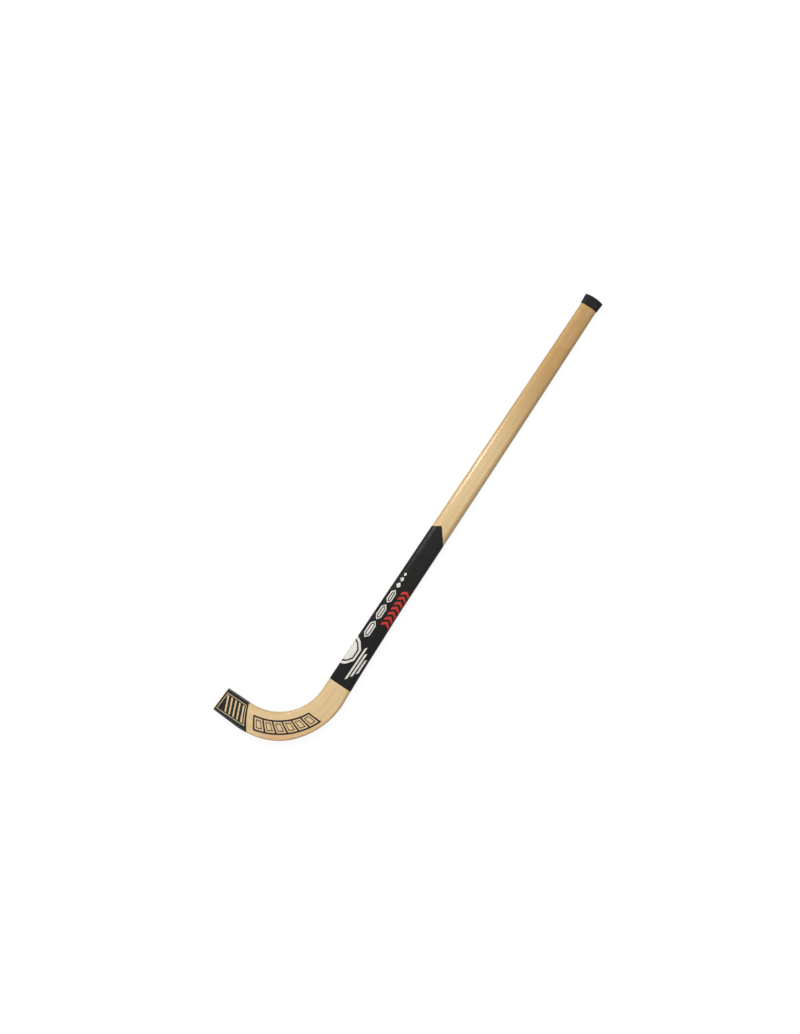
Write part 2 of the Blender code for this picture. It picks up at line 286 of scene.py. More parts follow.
# A bar of one section that follows the stick from beyond the butt to beyond the toe.
def followingBar(name, near, far):
    start = stickForm["shaftLength"] + cutterReach["butt"]
    piece = sectionPlane(name, start, near, far, cutterReach["height"])
    extrudeSelected(-start)
    bpy.ops.mesh.spin(steps=stickForm["bendSteps"], angle=math.pi / 2, center=bendPivot, axis=(0, 0, 1))
    extrudeSelected(0.0, stickForm["toeLength"] + cutterReach["toe"])
    stopEditing()
    return piece


# A flat plate with a closed outline of (along, depth) corners, from one height to another.
def plate(name, corners, low, high):
    count = len(corners)
    bpy.ops.mesh.primitive_circle_add(vertices=count, radius=0.01, fill_type="NGON", location=(0, 0, 0))
    piece = bpy.context.object
    piece.name = piece.data.name = name
    startEditing(piece)
    mesh = bmesh.from_edit_mesh(piece.data)
    mesh.verts.ensure_lookup_table()
    for vertex, (along, depth) in zip(mesh.verts, corners):
        vertex.co = spot(along, depth, low)
    bmesh.update_edit_mesh(piece.data)
    bpy.ops.mesh.select_all(action="SELECT")
    extrudeSelected(0.0, 0.0, high - low)
    turnFacesOut()
    stopEditing()
    return piece


# Corners joined by lines, with points between them so that they follow the bend.
def stepped(corners, spacing=0.0015):
    points = []
    for (along, depth), (nextAlong, nextDepth) in zip(corners, corners[1:] + corners[:1]):
        count = max(1, round(abs(nextAlong - along) / spacing))
        for i in range(count):
            t = i / count
            points.append((along + (nextAlong - along) * t, depth + (nextDepth - depth) * t))
    return points


# The wood's whole form, before it is split into strips.
def stickBlank():
    length, steps = stickForm["shaftLength"], stickForm["shaftSteps"]
    shaft = [length * (i / steps) ** stickForm["stepGrowth"] for i in range(steps, -1, -1)]
    turn = math.pi / 2 / stickForm["bendSteps"]
    rise = stickForm["toeLength"] / stickForm["toeSteps"]
    # Each stage of the sweep: the place that it reaches, the move and the turn.
    stages = [(along, (along - before, 0, 0), 0) for before, along in zip(shaft, shaft[1:])]
    stages += [(-bendRadius * turn * (i + 1), (0, 0, 0), turn) for i in range(stickForm["bendSteps"])]
    stages += [(bendEnd - rise * (i + 1), (0, rise, 0), 0) for i in range(stickForm["toeSteps"])]
    width, half = widthAt(length), halfAt(length)
    piece = sectionPlane("stick_blank", length, 0.0, width, half / roundDrop)
    for along, move, angle in stages:
        extrudeSelected(*move)
        if angle:
            bpy.ops.transform.rotate(value=angle, orient_axis="Z", center_override=bendPivot)
        newWidth, newHalf = widthAt(along), halfAt(along)
        bpy.ops.transform.resize(value=(1, 1, newHalf / half), center_override=bendPivot)
        mesh = bmesh.from_edit_mesh(piece.data)
        for vertex in (v for v in mesh.verts if v.select):
            if placeOf(vertex.co)[1] > width / 2:  # the two outer corners follow the width
                vertex.co += spot(along, newWidth) - spot(along, width)
        bmesh.update_edit_mesh(piece.data)
        width, half = newWidth, newHalf
    toeMiddle = spot(toeEnd, width / 2)
    bpy.ops.transform.rotate(value=stickForm["toeSlant"], orient_axis="Z", center_override=toeMiddle)
    stopEditing()
    # Rounding of the long edges, which grows from the hook to the shaft.
    weights = piece.data.attributes.new("bevel_weight_edge", "FLOAT", "EDGE")
    for edge in piece.data.edges:
        first, second = (placeOf(piece.data.vertices[i].co)[0] for i in edge.vertices)
        if max(first, second) < toeCut(0.0) + samePlace:
            weights.data[edge.index].value = stickForm["toeRound"] / widestRound
        elif abs(first - second) > samePlace:
            weights.data[edge.index].value = roundAt((first + second) / 2) / widestRound
    roundSteps = stickForm["roundSteps"]
    applied(piece, "BEVEL", limit_method="WEIGHT", width=widestRound, segments=roundSteps, profile=0.5)
    startEditing(piece)
    bpy.ops.mesh.select_all(action="SELECT")
    pressSelected()
    stopEditing()
    return piece


print("modelling the wood")
# Glued strips side by side, from the inner edge outwards, and the tenon under the cap.
woodBuild = {
    "strips": 11,
    "stripPitch": 0.0045,
    "firstJoint": 0.00435,  # depth of the joint between the first two strips
    "beforeFirst": -0.005,  # the first and the last band reach past the wood, to these depths
    "pastLast": 0.060,
    "tenonInset": 0.0018,
    "tenonRoot": 0.004,  # the bar's start inside the wood
    "tenonLength": 0.01315,
    "tenonRoundSteps": 6,
}
blank = stickBlank()


# The reduced end of the wood that the cap sits on, or the pocket for it, a little larger.
def tenonBar(name, spare, extraLength):
    end, root = stickForm["shaftLength"], woodBuild["tenonRoot"]
    inset = woodBuild["tenonInset"] - spare
    near, far, half = inset, widthAt(end) - inset, halfAt(end) - inset
    piece = sectionPlane(name, end - root, near, far, half / roundDrop)
    bpy.ops.mesh.bevel(offset=roundAt(end) - inset, affect="VERTICES", segments=woodBuild["tenonRoundSteps"])
    bpy.ops.mesh.select_all(action="SELECT")
    pressSelected()
    extrudeSelected(root + woodBuild["tenonLength"] + extraLength)
    turnFacesOut()
    stopEditing()
    return marked(piece, 0)


marked(blank, 0)
cutWith(blank, tenonBar("tenon", 0.0, 0.0), "UNION")

strips = []
for number in range(woodBuild["strips"]):
    near = woodBuild["firstJoint"] + woodBuild["stripPitch"] * (number - 1)
    far = near + woodBuild["stripPitch"]
    if number == 0:
        near = woodBuild["beforeFirst"]
    if number == woodBuild["strips"] - 1:
        far = woodBuild["pastLast"]
    strip = copyOf(blank, f"wood_strip_{number + 1:02d}")
    cutWith(strip, marked(followingBar("band", near, far), 0), "INTERSECT")
    tidied(strip)
    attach(strip, "root")
    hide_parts(f"lamination_{number + 1:02d}")
    strips.append(strip)

print("modelling the film and the prints")


# A thin layer on the stick's skin. Each part is the plates that it covers and the windows cut from
# them. The cutters' own faces are deleted, and the skin that is left is lifted and made thick.
def skinLayer(name, parts, lift, thickness):
    layers = []
    for plates, windows in parts:
        layer = copyOf(blank, name)
        cutWith(layer, marked(joined(plates, "plates"), 1), "INTERSECT")
        if windows:
            cutWith(layer, marked(joined(windows, "windows"), 1), "DIFFERENCE")
        startEditing(layer)
        selectFaces(layer, lambda face: face.material_index == 1)
        bpy.ops.mesh.delete(type="FACE")
        bpy.ops.mesh.select_all(action="SELECT")
        bpy.ops.mesh.remove_doubles(threshold=weldDistance)
        bpy.ops.transform.shrink_fatten(value=lift, use_even_offset=True)
        stopEditing()
        applied(layer, "SOLIDIFY", thickness=thickness, offset=1.0, use_even_offset=True)
        tidied(layer)
        layers.append(layer)
    layer = joined(layers, name)
    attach(layer, "root")
    return layer


sleeveForm = {
    "start": sleeveStart,
    "tip": 0.351,
    "tipDepth": 0.0144,
    "innerDrop": 0.0095,  # from the tip back to the film's end at the inner edge
    "outerDrop": 0.0283,
    "cutter": (-0.003, 0.047),  # depths of its plate, past both edges
    "lift": 0.00002,
    "film": 0.00026,
}


# The sleeve's place at its upper end, where two slanted cuts meet in a point.
def sleeveEndAt(depth):
    tip, tipDepth = sleeveForm["tip"], sleeveForm["tipDepth"]
    if depth < tipDepth:
        return tip - sleeveForm["innerDrop"] * (tipDepth - depth) / tipDepth
    return tip - sleeveForm["outerDrop"] * (depth - tipDepth) / (widthAt(tip) - tipDepth)


inside, outside = sleeveForm["cutter"]
sleeveCorners = [
    (sleeveForm["start"], inside),
    (sleeveEndAt(inside), inside),
    (sleeveForm["tip"], sleeveForm["tipDepth"]),
    (sleeveEndAt(outside), outside),
    (sleeveForm["start"], outside),
]
sleevePlate = plate("sleeve", sleeveCorners, -cutterReach["height"], cutterReach["height"])
sleeve = skinLayer("sleeve_film", [([sleevePlate], [])], sleeveForm["lift"], sleeveForm["film"])
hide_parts("shaft_sleeve")

# Printing on the film: a white crest, links and stripes, and red chevrons. The lift and the ink are
# in metres, and all other sizes in millimetres.
sleevePrint = {
    "lift": 0.00029,
    "ink": 0.00003,
    "crest": [(54, -3), (61, 9), (73, 18), (95, 18), (107, 9), (114, -3)],
    "crestLine": [(59, -3), (65, 7), (75, 14.6), (93, 14.6), (103, 7), (109, -3)],
    "crestHeart": [(62.5, -3), (67.5, 5.8), (76.2, 12.2), (91.8, 12.2), (100.5, 5.8), (105.5, -3)],
    "links": [(117, 151, 10.4, 5.6), (154, 185, 10.0, 5.2), (188, 215, 9.6, 4.8)],
    "linkStroke": 2.0,
    "linkCore": 3.8,
    "linkNose": 1.3,  # length of a link's pointed end, for half the link's breadth
    "noseStroke": 1.5,  # how far a pointed end draws back, for a stroke less at the sides
    "diamonds": [(219, 230, 9.3, 4.0), (232, 241, 9.0, 3.3), (243, 250, 8.7, 2.6)],
    "stripes": [(37, 101, 22.0), (46, 92, 27.6), (55, 83, 33.2)],
    "stripeWidth": 3.2,
    "stripeLean": 1.2,
    "chevrons": 7,
    "chevron": {"first": 150, "pitch": 10.4, "length": 5.6, "near": 21.0, "far": 36.4, "nose": 6.0},
}


def throughPlates(shapes, spare=0.0):
    reach = cutterReach["height"] + spare
    plates = []
    for corners in shapes:
        metres = [(along / 1000, depth / 1000) for along, depth in corners]
        plates.append(plate("shape", metres, -reach, reach))
    return plates


# A six-sided link along the stick, or the same made smaller by a stroke.
def link(start, end, depth, half, stroke=0.0):
    shorter = sleevePrint["noseStroke"] * stroke
    start, end, half = start + shorter, end - shorter, half - stroke
    nose = sleevePrint["linkNose"] * half
    return [
        (start, depth),
        (start + nose, depth - half),
        (end - nose, depth - half),
        (end, depth),
        (end - nose, depth + half),
        (start + nose, depth + half),
    ]


def diamond(start, end, depth, half):
    centre = (start + end) / 2
    return [(start, depth), (centre, depth - half), (end, depth), (centre, depth + half)]


def slantedBar(start, length, near, far, lean):
    return [(start, near), (start + length, near), (start + length + lean, far), (start + lean, far)]


def chevronShape(start, length, near, far, nose):
    centre = (near + far) / 2
    return [
        (start, near),
        (start + length, near),
        (start + length + nose, centre),
        (start + length, far),
        (start, far),
        (start + nose, centre),
    ]


stripes = []
for start, end, depth in sleevePrint["stripes"]:
    width = sleevePrint["stripeWidth"]
    stripes.append(slantedBar(start, end - start, depth, depth + width, sleevePrint["stripeLean"] * width))
links = [link(*sizes) for sizes in sleevePrint["links"]]
linkWindows = [link(*sizes, sleevePrint["linkStroke"]) for sizes in sleevePrint["links"]]
linkCores = [link(*sizes, sleevePrint["linkCore"]) for sizes in sleevePrint["links"]]
diamonds = [diamond(*sizes) for sizes in sleevePrint["diamonds"]]
outlines = throughPlates([sleevePrint["crest"], *links])
windows = throughPlates([sleevePrint["crestLine"], *linkWindows], cutterReach["window"])
hearts = throughPlates([sleevePrint["crestHeart"], *linkCores, *diamonds, *stripes])
whiteParts = [(outlines, windows), (hearts, [])]
whitePrint = skinLayer("white_print", whiteParts, sleevePrint["lift"], sleevePrint["ink"])
chevron = sleevePrint["chevron"]
chevronSizes = [chevron[name] for name in ("length", "near", "far", "nose")]
chevrons = []
for i in range(sleevePrint["chevrons"]):
    chevrons.append(chevronShape(chevron["first"] + chevron["pitch"] * i, *chevronSizes))
redPrint = skinLayer("red_print", [(throughPlates(chevrons), [])], sleevePrint["lift"], sleevePrint["ink"])

# Printing on the hook: a block with slanted windows round the toe, and a curved ladder on the bend.
toePrint = {
    "start": 0.0010,
    "windowsFrom": 0.0015,
    "inner": 0.047,
    "outer": 0.060,
    "border": 0.0040,
    "window": 0.0030,
    "pitch": 0.0080,
    "lean": 0.0110,
    "windows": 5,
    "lineInset": 0.0030,  # a fine bare line runs round inside the block's edge
    "line": 0.0011,
    "lineGap": 0.0008,  # from that line to the windows, besides the line's own width
    "wrap": 0.003,  # how far the block's cutter reaches past the stick's narrow sides
    "plateFoot": 0.0,  # the cutters start at the middle plane, so the block wraps round the sides
    "lift": 0.00002,
    "ink": 0.00005,
}
bendPrint = {
    "start": math.radians(26.0),
    "end": math.radians(82.0),
    "depth": 0.0130,
    "height": 0.0255,
    "bar": 0.0030,
    "windows": 6,
    "lean": math.radians(5.0),
    "innerGap": 0.0026,  # from a window's edge to the thinner outline inside it
    "innerLine": 0.0015,
    "plateFoot": 0.0056,  # these cutters leave the narrow sides bare
    "lift": 0.00002,
    "ink": 0.00005,
}


def toeParts(low, high):
    near, far = stickForm["hookRound"], stickForm["toeWidth"] - stickForm["hookRound"]
    slope = (toePrint["outer"] - toePrint["inner"]) / (far - near)
    spare = cutterReach["window"]

    def block(inset, top, bottom, name, low, high):
        first = [toeCut(depth) + toePrint["start"] + inset for depth in (top, bottom)]
        last = [toeEnd + toePrint["inner"] + slope * (depth - near) - inset for depth in (top, bottom)]
        corners = [(first[0], top), (last[0], top), (last[1], bottom), (first[1], bottom)]
        return plate(name, stepped(corners), low, high)

    windows = []
    span = toePrint["pitch"] * (toePrint["windows"] - 1) + toePrint["window"]
    margin = (toePrint["inner"] - toePrint["windowsFrom"] - span) / 2
    top, bottom = near + toePrint["border"], far - toePrint["border"]
    for i in range(toePrint["windows"]):
        start = toeEnd + toePrint["windowsFrom"] + margin + toePrint["pitch"] * i
        window = slantedBar(start, toePrint["window"], top, bottom, toePrint["lean"])
        windows.append(plate("window", stepped(window), low - spare, high + spare))
    inset, line, wrap = toePrint["lineInset"], toePrint["line"], toePrint["wrap"]
    lineNear = top - 2 * line - toePrint["lineGap"]
    lineFar = near + far - lineNear
    rim = block(0.0, -wrap, near + far + wrap, "block", low, high)
    rimWindow = block(inset, lineNear, lineFar, "window", low - spare, high + spare)
    inside = block(inset + line, lineNear + line, lineFar - line, "block", low, high)
    return [([rim], [rimWindow]), ([inside], windows)]


def bendParts(low, high):
    near, far = bendPrint["depth"], bendPrint["depth"] + bendPrint["height"]
    start, end = -bendRadius * bendPrint["end"], -bendRadius * bendPrint["start"]
    squeeze = bendRadius / (bendRadius + (near + far) / 2)  # from half way across to the inner edge
    post = bendPrint["bar"] * squeeze
    slope = bendRadius * bendPrint["lean"] / bendPrint["height"]
    spare = cutterReach["window"]

    def leaning(first, last, top, bottom, inset, name, low, high):
        first, last = first + inset * squeeze, last - inset * squeeze
        top, bottom = top + inset, bottom - inset
        corners = ((first, top), (last, top), (last, bottom), (first, bottom))
        slanted = [(along + slope * (depth - near), depth) for along, depth in corners]
        return plate(name, stepped(slanted), low, high)

    band = leaning(start, end, near, far, 0.0, "band", low, high)
    pitch = (end - start - post) / bendPrint["windows"]
    gap, line, bar = bendPrint["innerGap"], bendPrint["innerLine"], bendPrint["bar"]
    windows, outlines, outlineWindows = [], [], []
    for i in range(bendPrint["windows"]):
        edges = (start + post + pitch * i, start + pitch * (i + 1), near + bar, far - bar)
        windows.append(leaning(*edges, 0.0, "window", low - spare, high + spare))
        outlines.append(leaning(*edges, gap, "outline", low, high))
        outlineWindows.append(leaning(*edges, gap + line, "window", low - spare, high + spare))
    return [([band], windows), (outlines, outlineWindows)]


hookPrints = []
for face, side in (("upper", 1), ("lower", -1)):
    for name, form, parts in (("toe", toePrint, toeParts), ("bend", bendPrint, bendParts)):
        low, high = sorted((side * form["plateFoot"], side * cutterReach["height"]))
        ink = skinLayer(f"{name}_print_{face}", parts(low, high), form["lift"], form["ink"])
        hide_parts(f"{name}_transfer_{face}")
        hookPrints.append(ink)

print("modelling the cap")
capForm = {
    "start": 0.80812,
    "end": 0.82745,
    "lip": 0.0009,
    "lipRound": 0.0005,
    "lipSteps": 4,
    "rimGrowth": 0.00205,
    "corner": 0.0012,  # rounding between the side and the domed end
    "cornerSteps": 6,
    "dome": 0.0030,  # height of the whole dome, which has a flat on it
    "domeSteps": 16,
    "flat": 0.45,  # share of the end's width and thickness that is flat
    "flatInset": 0.0012,
    "roundSteps": 12,
    "pocketSpare": 0.00005,  # air round the tenon
    "pocketEndSpare": 0.0001,  # and past its end
}


# Rises over the foot of the domed end, with the share of its size left at each.
def domedEnd(reach):
    corner, dome, steps = capForm["corner"], capForm["dome"], capForm["cornerSteps"]
    slope = math.atan(2 * dome / reach)
    turns = [(math.pi / 2 - slope) * i / steps for i in range(steps + 1)]
    rings = [(corner * math.sin(turn), 1 - corner * (1 - math.cos(turn)) / reach) for turn in turns]
    rise, start = rings[-1]
    for i in range(1, capForm["domeSteps"] + 1):
        share = start + (capForm["flat"] - start) * i / capForm["domeSteps"]
        rings.append((rise + dome * (start**2 - share**2), share))
    return rings


def rubberCap():
    start, end = capForm["start"], capForm["end"]
    width, half = widthAt(start), halfAt(start)
    lip, growth = capForm["lip"], capForm["rimGrowth"]
    centre = spot(start, width / 2)
    piece = sectionPlane("butt_cap", start, -lip, width + lip, (half + lip) / roundDrop)
    bpy.ops.mesh.bevel(offset=roundAt(start) + lip, affect="VERTICES", segments=capForm["roundSteps"])
    bpy.ops.mesh.select_all(action="SELECT")
    pressSelected()
    rings = domedEnd(width / 2 + growth)
    foot = end - rings[-1][0]
    flare = (width / 2 + growth) / (width / 2 + lip), (half + growth) / (half + lip)
    extrudeSelected(foot - start)
    bpy.ops.transform.resize(value=(1, *flare), center_override=centre)
    for (rise, share), (nextRise, nextShare) in zip(rings, rings[1:]):
        extrudeSelected(nextRise - rise)
        bpy.ops.transform.resize(value=(1, nextShare / share, nextShare / share), center_override=centre)
    bpy.ops.mesh.inset(thickness=capForm["flatInset"], depth=0.0)
    bpy.ops.mesh.select_mode(type="EDGE")
    bpy.ops.mesh.select_all(action="DESELECT")
    mesh = bmesh.from_edit_mesh(piece.data)
    for edge in mesh.edges:
        edge.select_set(all(abs(v.co.x - centre.x) < samePlace for v in edge.verts))
    bmesh.update_edit_mesh(piece.data)
    bpy.ops.mesh.bevel(offset=capForm["lipRound"], segments=capForm["lipSteps"], affect="EDGES")
    turnFacesOut()
    stopEditing()
    pocket = tenonBar("pocket", capForm["pocketSpare"], capForm["pocketEndSpare"])
    cutWith(marked(piece, 0), pocket, "DIFFERENCE")
    tidied(piece)
    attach(piece, "root")
    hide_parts("end_cap")
    return piece


cap = rubberCap()
bpy.data.objects.remove(blank)

print("making the finishes")


# A colour by its 0 to 255 screen values.
def paint(red, green, blue):
    channels = []
    for value in (red, green, blue):
        value /= 255
        channels.append(value / 12.92 if value <= 0.04045 else ((value + 0.055) / 1.055) ** 2.4)
    return (*channels, 1.0)


def setOrLink(tree, socket, value):
    if isinstance(value, bpy.types.NodeSocket):
        tree.links.new(value, socket)
    else:
        socket.default_value = value


def mathNode(tree, operation, *values, clamped=False):
    node = tree.nodes.new("ShaderNodeMath")
    node.operation = operation
    node.use_clamp = clamped
    for socket, value in zip(node.inputs, values):
        setOrLink(tree, socket, value)
    return node.outputs[0]


def times(tree, first, second):
    return mathNode(tree, "MULTIPLY", first, second)


def plus(tree, first, second):
    return mathNode(tree, "ADD", first, second)


def minus(tree, first, second):
    return mathNode(tree, "SUBTRACT", first, second)


def combined(tree, x, y, z):
    node = tree.nodes.new("ShaderNodeCombineXYZ")
    for socket, value in zip(node.inputs, (x, y, z)):
        setOrLink(tree, socket, value)
    return node.outputs[0]


def noiseNode(tree, vector, detail, roughness):
    node = tree.nodes.new("ShaderNodeTexNoise")
    tree.links.new(vector, node.inputs["Vector"])
    node.inputs["Scale"].default_value = 1.0
    node.inputs["Detail"].default_value = detail
    node.inputs["Roughness"].default_value = roughness
    return node.outputs[0]


# Noise by the place on the stick. Its form is the scale along, the scale across and over, the detail
# and the roughness.
def stickNoise(tree, place, form):
    alongScale, otherScale, detail, roughness = form
    scales = (alongScale, otherScale, otherScale)
    vector = combined(tree, *(times(tree, value, scale) for value, scale in zip(place, scales)))
    return noiseNode(tree, vector, detail, roughness)


# A smooth step of a value from one level to another.
def stepNode(tree, value, fromLow, fromHigh, toLow=0.0, toHigh=1.0):
    node = tree.nodes.new("ShaderNodeMapRange")
    node.interpolation_type = "SMOOTHSTEP"
    names = ("Value", "From Min", "From Max", "To Min", "To Max")
    for name, setting in zip(names, (value, fromLow, fromHigh, toLow, toHigh)):
        setOrLink(tree, node.inputs[name], setting)
    return node.outputs[0]


# The sockets for colours of this node come after those of its other kinds, which bear the same names.
def mixNode(tree, factor, first, second, blend="MIX"):
    node = tree.nodes.new("ShaderNodeMix")
    node.data_type = "RGBA"
    node.blend_type = blend
    for index, value in ((0, factor), (6, first), (7, second)):
        setOrLink(tree, node.inputs[index], value)
    return node.outputs[2]


# A shader node group with named number sockets, from the inputs' values and the outputs' names.
def newGroup(name, inputs, outputs):
    group = bpy.data.node_groups.new(name, "ShaderNodeTree")
    for label, value in inputs.items():
        socket = group.interface.new_socket(name=label, in_out="INPUT", socket_type="NodeSocketFloat")
        socket.default_value = value
    for label in outputs:
        group.interface.new_socket(name=label, in_out="OUTPUT", socket_type="NodeSocketFloat")
    return group, group.nodes.new("NodeGroupInput").outputs, group.nodes.new("NodeGroupOutput").inputs


def placed(tree, group, **values):
    node = tree.nodes.new("ShaderNodeGroup")
    node.node_tree = group
    for name, value in values.items():
        setOrLink(tree, node.inputs[name], value)
    return node.outputs


placeNames = ("Along", "Depth", "Height")


# Where a point is on the stick: along, depth and height, as in the model above.
def stickCoordinates():
    group, _, result = newGroup("stickCoordinates", {}, placeNames)
    split = group.nodes.new("ShaderNodeSeparateXYZ")
    group.links.new(group.nodes.new("ShaderNodeTexCoord").outputs["Object"], split.inputs[0])
    x, y, z = split.outputs
    centreX, centreY = bendCentre
    across, up = minus(group, centreX, x), minus(group, centreY, y)
    bendAcross, bendUp = (mathNode(group, "MAXIMUM", value, 0.0) for value in (across, up))
    squares = plus(group, times(group, bendAcross, bendAcross), times(group, bendUp, bendUp))
    depth = minus(group, mathNode(group, "SQRT", squares), bendRadius)
    turned = times(group, mathNode(group, "ARCTAN2", bendAcross, bendUp), bendRadius)
    shaft = mathNode(group, "MAXIMUM", times(group, across, -1.0), 0.0)
    toe = mathNode(group, "MAXIMUM", times(group, up, -1.0), 0.0)
    along = minus(group, minus(group, shaft, turned), toe)
    for socket, value in zip(result, (along, depth, minus(group, z, middle))):
        group.links.new(value, socket)
    return group


woodGrain = {
    "jointWidth": 0.00016,
    "jointEdges": (0.3, 0.6),  # shares of that width at which a joint begins to fade and has gone
    "toneSpread": 0.07,  # between strips
    "toneSeed": 0.37,
    "shift": 7.3,  # each strip comes from another place in the tree
    "grainDepth": 0.18,
    "ringDepth": 2.0,  # how many times the fibres' depth the rings have
    "ringScales": (3.0, 900.0, 160.0),  # along, across and over
    "ringNoise": (3.0, 0.55),  # detail and roughness
    "wanderScales": (9.0, 60.0),  # along and over
    "wanderNoise": (2.0, 0.5),
    "wanderReach": 2.4,
    "fibres": (45.0, 3800.0, 2.0, 0.5),
    "pores": (210.0, 2600.0, 1.0, 0.5),
    "poreEdges": (0.68, 0.78),
    "poreDepth": 0.22,
    "mottle": (42.0, 90.0, 3.0, 0.6),
    "relief": {"fibres": 0.3, "pores": 0.5, "joint": 0.4},
}


# Straight grain in each glued strip, with its pores, its joints and a broad mottling.
def woodFigure():
    inputs = {
        "Along": 0.0,
        "Depth": 0.0,
        "Height": 0.0,
        "Strip": woodBuild["stripPitch"],
        "First Joint": woodBuild["firstJoint"],
        "Joint Width": woodGrain["jointWidth"],
        "Tone Spread": woodGrain["toneSpread"],
        "Grain Depth": woodGrain["grainDepth"],
        "Pore Depth": woodGrain["poreDepth"],
    }
    group, given, result = newGroup("woodFigure", inputs, ("Shade", "Joint", "Relief", "Mottle"))
    place = [given[name] for name in placeNames]
    along, depth, height = place
    position = mathNode(group, "DIVIDE", minus(group, depth, given["First Joint"]), given["Strip"])
    fromJoint = mathNode(group, "FRACT", plus(group, position, 0.5))
    fromJoint = mathNode(group, "ABSOLUTE", minus(group, fromJoint, 0.5))
    fromJoint = times(group, fromJoint, given["Strip"])
    edges = [times(group, given["Joint Width"], share) for share in woodGrain["jointEdges"]]
    joint = stepNode(group, fromJoint, *edges, 1.0, 0.0)
    toneNode = group.nodes.new("ShaderNodeTexWhiteNoise")
    toneNode.noise_dimensions = "1D"
    strip = mathNode(group, "FLOOR", position)
    group.links.new(plus(group, strip, woodGrain["toneSeed"]), toneNode.inputs["W"])
    tone = toneNode.outputs["Value"]
    shift = times(group, tone, woodGrain["shift"])
    # Growth rings, wide and slowly wandering, then fine fibres, then short open pores.
    alongScale, heightScale = woodGrain["wanderScales"]
    vector = combined(group, times(group, along, alongScale), shift, times(group, height, heightScale))
    wander = noiseNode(group, vector, *woodGrain["wanderNoise"])
    alongScale, depthScale, heightScale = woodGrain["ringScales"]
    across = plus(group, times(group, depth, depthScale), times(group, height, heightScale))
    across = plus(group, across, times(group, wander, woodGrain["wanderReach"]))
    vector = combined(group, plus(group, times(group, along, alongScale), shift), across, shift)
    rings = noiseNode(group, vector, *woodGrain["ringNoise"])
    fibres = stickNoise(group, place, woodGrain["fibres"])
    pores = stepNode(group, stickNoise(group, place, woodGrain["pores"]), *woodGrain["poreEdges"])
    mottle = stickNoise(group, place, woodGrain["mottle"])

    def swing(value, amount):
        return times(group, minus(group, value, 0.5), amount)

    shade = plus(group, 1.0, swing(tone, given["Tone Spread"]))
    shade = plus(group, shade, swing(rings, times(group, given["Grain Depth"], woodGrain["ringDepth"])))
    shade = plus(group, shade, swing(fibres, given["Grain Depth"]))
    shade = minus(group, shade, times(group, pores, given["Pore Depth"]))
    shares = woodGrain["relief"]
    relief = minus(group, times(group, fibres, shares["fibres"]), times(group, pores, shares["pores"]))
    relief = minus(group, relief, times(group, joint, shares["joint"]))
    for name, value in (("Shade", shade), ("Joint", joint), ("Relief", relief), ("Mottle", mottle)):
        group.links.new(value, result[name])
    return group


handling = {
    "smears": (22.0, 70.0, 3.0, 0.6),
    "lines": (30.0, 1900.0, 1.0, 0.5),
    "lineEdges": (0.60, 0.80),
}


# Faint smears and fine rubbed lines from handling, for the gloss of every finish.
def handlingMarks():
    inputs = {"Along": 0.0, "Depth": 0.0, "Height": 0.0, "Gloss": 0.3, "Smears": 0.1, "Rubbing": 0.1}
    group, given, result = newGroup("handlingMarks", inputs, ("Roughness", "Lines"))
    place = [given[name] for name in placeNames]
    smears = minus(group, stickNoise(group, place, handling["smears"]), 0.5)
    lines = stepNode(group, stickNoise(group, place, handling["lines"]), *handling["lineEdges"])
    roughness = plus(group, given["Gloss"], times(group, smears, given["Smears"]))
    rubbed = times(group, lines, given["Rubbing"])
    roughness = mathNode(group, "ADD", roughness, rubbed, clamped=True)
    group.links.new(roughness, result["Roughness"])
    group.links.new(lines, result["Lines"])
    return group


coordinatesGroup, figureGroup, marksGroup = stickCoordinates(), woodFigure(), handlingMarks()


def newFinish(name):
    finish = bpy.data.materials.new(name)
    finish.use_nodes = True
    tree = finish.node_tree
    return finish, tree, tree.nodes["Principled BSDF"]


def bumped(tree, shader, height, form):
    bump = tree.nodes.new("ShaderNodeBump")
    bump.inputs["Strength"].default_value, bump.inputs["Distance"].default_value = form
    tree.links.new(height, bump.inputs["Height"])
    tree.links.new(bump.outputs["Normal"], shader.inputs["Normal"])


# The handling marks of a finish.
def handled(tree, place, form):
    values = {"Gloss": form["gloss"], "Smears": form["smears"], "Rubbing": form["rubbing"]}
    return placed(tree, marksGroup, **dict(zip(placeNames, place)), **values)


def surfaced(tree, shader, colour, marks, form):
    tree.links.new(colour, shader.inputs["Base Color"])
    tree.links.new(marks["Roughness"], shader.inputs["Roughness"])
    shader.inputs["Specular IOR Level"].default_value = form["shine"]


plainWhite = (1.0, 1.0, 1.0, 1.0)
